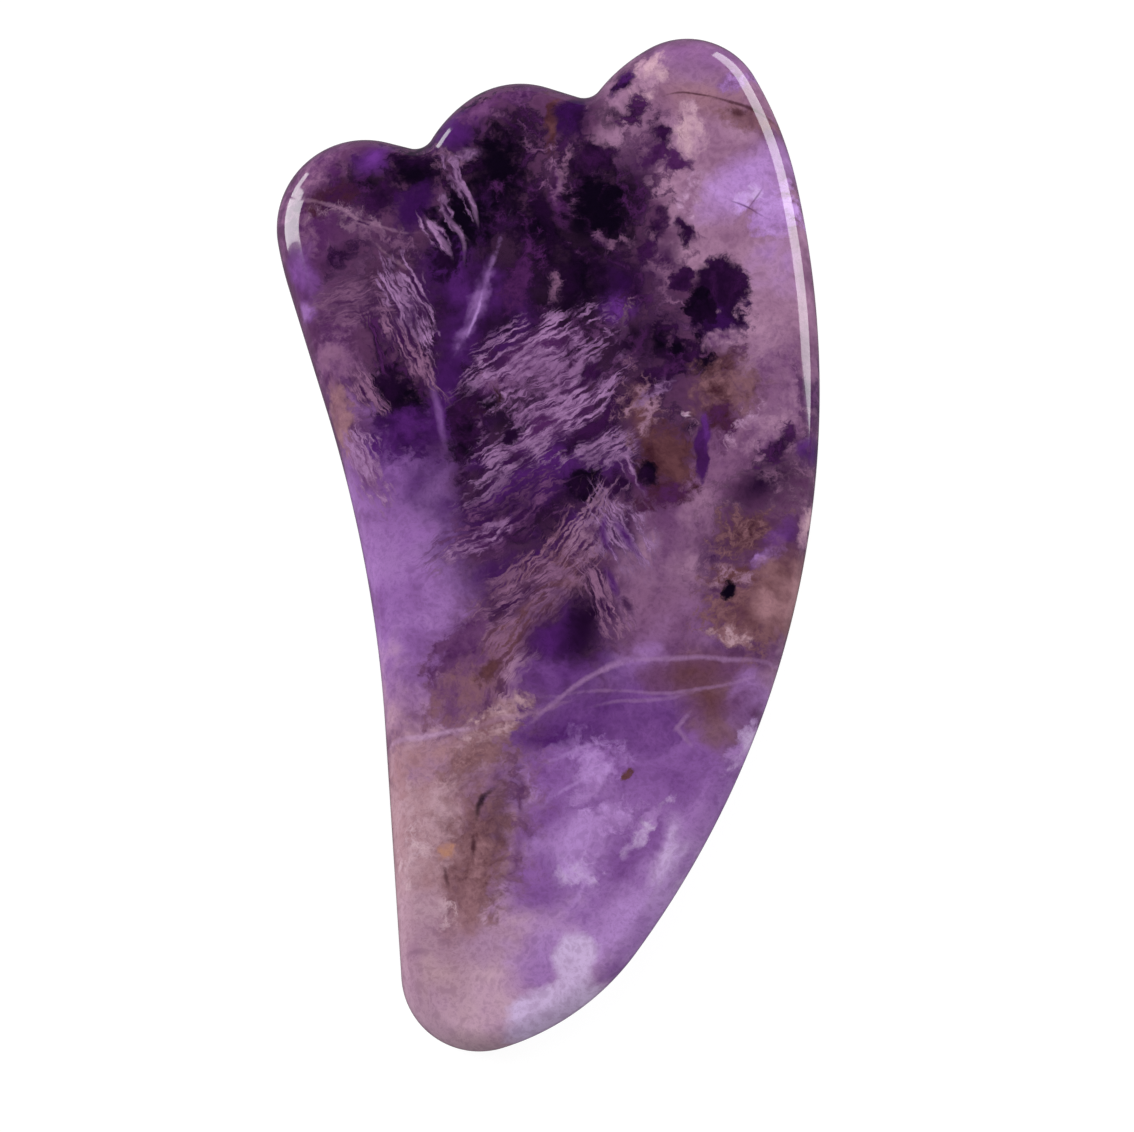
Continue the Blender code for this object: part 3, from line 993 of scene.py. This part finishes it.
# %% The tip
patch((-19.5, -43), (3, 2), 0, PINK, PALE_PINK, "mist")
patch((-26, -43), (3.4, 5), 0, PINK, BLUSH, "mist")
patch((-13.5, -46), (3.5, 2.6), 50, LAVENDER, LILAC, "mist")
patch((-13.5, -51.3), (5.5, 3), 18, PALE_LAVENDER, FROST, "mist", soft=0.5, tear=0.4)
patch((-10, -46.6), (3, 2), 62, PALE_LAVENDER, PALE_LILAC, "mist", soft=0.8, tear=0.6)
patch((-14, -47.4), (2, 1.4), 40, LAVENDER, LILAC, "mist", soft=0.7)
tell("The tip")

# %% The healed cracks
vein((-1, -14.6), (18.2, -17.4), 0.5, VEIL, bow=1.6, strength=0.6)
vein((-9.6, -17.8), (1.5, -13.9), 0.6, VEIL, bow=0.5, strength=0.6)
vein((-4.5, -16.6), (17.2, -18.2), 0.4, VEIL, bow=-0.5, strength=0.45)
vein((-2, -18.6), (8, -18.4), 0.4, VEIL, strength=0.4)
vein((-26.5, -18.6), (-17.5, -18), 0.6, PALE_PINK, bow=0.4)
vein((-17.5, -18.2), (-8, -17.2), 0.7, PINK, bow=0.3, strength=0.5)
vein((6.5, -22), (7.8, -20.8), 0.5, VEIL, strength=0.6)
vein((6.5, -22), (7.6, -24.4), 0.4, VEIL, strength=0.5)
tell("The healed cracks")

# %% [markdown]
# ## Grain and polish
#
# Up close the colour is never smooth: a fine grain runs through all of it. It's laid over the
# paint as a factor on the colour, a little below one between the threads and a little above one
# on them. The polish is a clear coat.

# %% Grain
GRAIN_DARK = (0.9, 0.88, 0.9)
GRAIN_LIGHT = (1.11, 1.13, 1.11)

fine = stretch(threads(torn, 0.9, 0.8, 2), 1.2, 3.4)
grain = mix(fine, GRAIN_DARK, GRAIN_LIGHT)
paint["colour"] = mix(1.0, paint["colour"], grain, blend="MULTIPLY")

# %% Polish
QUARTZ_IOR = 1.544

feed(surface.inputs["Base Color"], paint["colour"])
surface.inputs["Roughness"].default_value = 0.1
surface.inputs["IOR"].default_value = QUARTZ_IOR
surface.inputs["Coat Weight"].default_value = 0.6
surface.inputs["Coat Roughness"].default_value = 0.02
surface.inputs["Coat IOR"].default_value = 1.5
print(f"The material has {len(tree.nodes)} nodes")

# %% [markdown]
# ## The studio
#
# A pale floor, one softbox on the right, and three on the left, each a little lower than the one
# before. A polished stone shows what is around it, so the softboxes stand upright at its sides:
# the flat face reflects the dark ceiling and keeps its depth, and only the rounded rim picks up
# a bright line. Where a line starts and ends is set by where its softbox starts and ends.

# %% The floor
FLOOR_HALF = 3.0
floor_shape = bmesh.new()
bmesh.ops.create_grid(floor_shape, x_segments=1, y_segments=1, size=FLOOR_HALF)
floor_mesh = bpy.data.meshes.new("studio_floor")
floor_shape.to_mesh(floor_mesh)
floor_shape.free()
floor = bpy.data.objects.new("studio_floor", floor_mesh)
bpy.context.collection.objects.link(floor)

# %% [markdown]
# The floor is white paper that glows a little, so it looks evenly white and lights the stone's
# rim from below. In the stone's mirror image it's grey, as if a black card lay round the plate.
# Otherwise the rim would reflect the paper and its outer edge would be washed out.

# %% Paper that is white to look at and grey in reflections
paper = bpy.data.materials.new("floor_paper")
paper.use_nodes = True
PAPER_GREY = (0.12, 0.12, 0.12, 1)
PAPER_GLOW = 0.93
paper_nodes = paper.node_tree.nodes
paper_nodes.clear()
white = paper_nodes.new("ShaderNodeBsdfDiffuse")
white.inputs["Color"].default_value = PAPER_GREY
glow = paper_nodes.new("ShaderNodeEmission")
glow.inputs["Strength"].default_value = PAPER_GLOW
lit = paper_nodes.new("ShaderNodeAddShader")
grey = paper_nodes.new("ShaderNodeBsdfDiffuse")
grey.inputs["Color"].default_value = PAPER_GREY
seen = paper_nodes.new("ShaderNodeLightPath")
either = paper_nodes.new("ShaderNodeMixShader")
paper_output = paper_nodes.new("ShaderNodeOutputMaterial")
feed(lit.inputs[0], white.outputs[0])
feed(lit.inputs[1], glow.outputs[0])
feed(either.inputs[0], seen.outputs["Is Glossy Ray"])
feed(either.inputs[1], lit.outputs[0])
feed(either.inputs[2], grey.outputs[0])
feed(paper_output.inputs["Surface"], either.outputs[0])
floor_mesh.materials.append(paper)


# %% The softboxes
FOOT = 0.02  # how far a softbox's lower edge is above the floor


def softbox(name, x, start_y, end_y, height, brightness, lean=0):
    """An upright panel beside the plate, facing it, its foot reaching from one y to the other.
    It can lean along y by some degrees, which slants the end of its reflection."""
    light = bpy.data.lights.new(name, "AREA")
    light.shape = "RECTANGLE"
    light.size = end_y - start_y
    light.size_y = height
    light.energy = brightness * math.pi * light.size * light.size_y
    panel = bpy.data.objects.new(name, light)
    lean = math.radians(lean)
    panel.location = (x, (start_y + end_y + math.tan(lean) * height) / 2, height / 2 + FOOT)
    faces = Vector((-x, 0, 0)).to_track_quat("-Z", "Y")
    panel.rotation_euler = faces.to_euler()
    panel.rotation_euler.rotate_axis("Z", -math.copysign(lean, x))
    panel.visible_camera = False
    bpy.context.collection.objects.link(panel)
    return panel


softbox("softbox_right", 0.25, -0.036, 0.4, 0.27, 4.6, lean=8)
softbox("softbox_left", -0.25, 0.046, 0.19, 0.78, 6.4, lean=3.2)
softbox("softbox_left_lower", -0.25, 0.2, 0.255, 0.4, 6)
softbox("softbox_left_lowest", -0.25, 0.255, 0.36, 0.13, 5)

# %% [markdown]
# The room's walls light the stone evenly from all sides. In the polish they are nearly black, or
# the darkest parts of the stone would turn grey.

# %% The room, and how bright shades are shown
WALLS_AS_LIGHT = (0.25, 0.25, 0.25, 1)
WALLS_IN_POLISH = (0.01, 0.01, 0.01, 1)

world = bpy.data.worlds.new("studio_room")
bpy.context.scene.world = world
world.use_nodes = True
world_nodes = world.node_tree.nodes
walls = world_nodes["Background"]
walls.inputs["Color"].default_value = WALLS_AS_LIGHT
dark = world_nodes.new("ShaderNodeBackground")
dark.inputs["Color"].default_value = WALLS_IN_POLISH
ray = world_nodes.new("ShaderNodeLightPath")
room = world_nodes.new("ShaderNodeMixShader")
feed(room.inputs[0], ray.outputs["Is Glossy Ray"])
feed(room.inputs[1], walls.outputs[0])
feed(room.inputs[2], dark.outputs[0])
feed(world_nodes["World Output"].inputs["Surface"], room.outputs[0])
bpy.context.scene.view_settings.view_transform = "Standard"

# %% The camera looks straight down, a little turned
CAMERA_HEIGHT = 0.6  # above the front face
VIEW_WIDTH = 0.1284  # how much of the front face's plane the picture takes in, across
VIEW_MIDDLE = (-0.00337, -0.00204)
VIEW_TURN = -9.5
SENSOR_MM = 36

camera_data = bpy.data.cameras.new("camera")
camera_data.lens = SENSOR_MM * CAMERA_HEIGHT / VIEW_WIDTH
print(f"The lens is {camera_data.lens:.0f} mm long")
camera = bpy.data.objects.new("camera", camera_data)
camera.location = (*VIEW_MIDDLE, THICKNESS + CAMERA_HEIGHT)
camera.rotation_euler = (0, 0, math.radians(VIEW_TURN))
bpy.context.collection.objects.link(camera)
bpy.context.scene.camera = camera
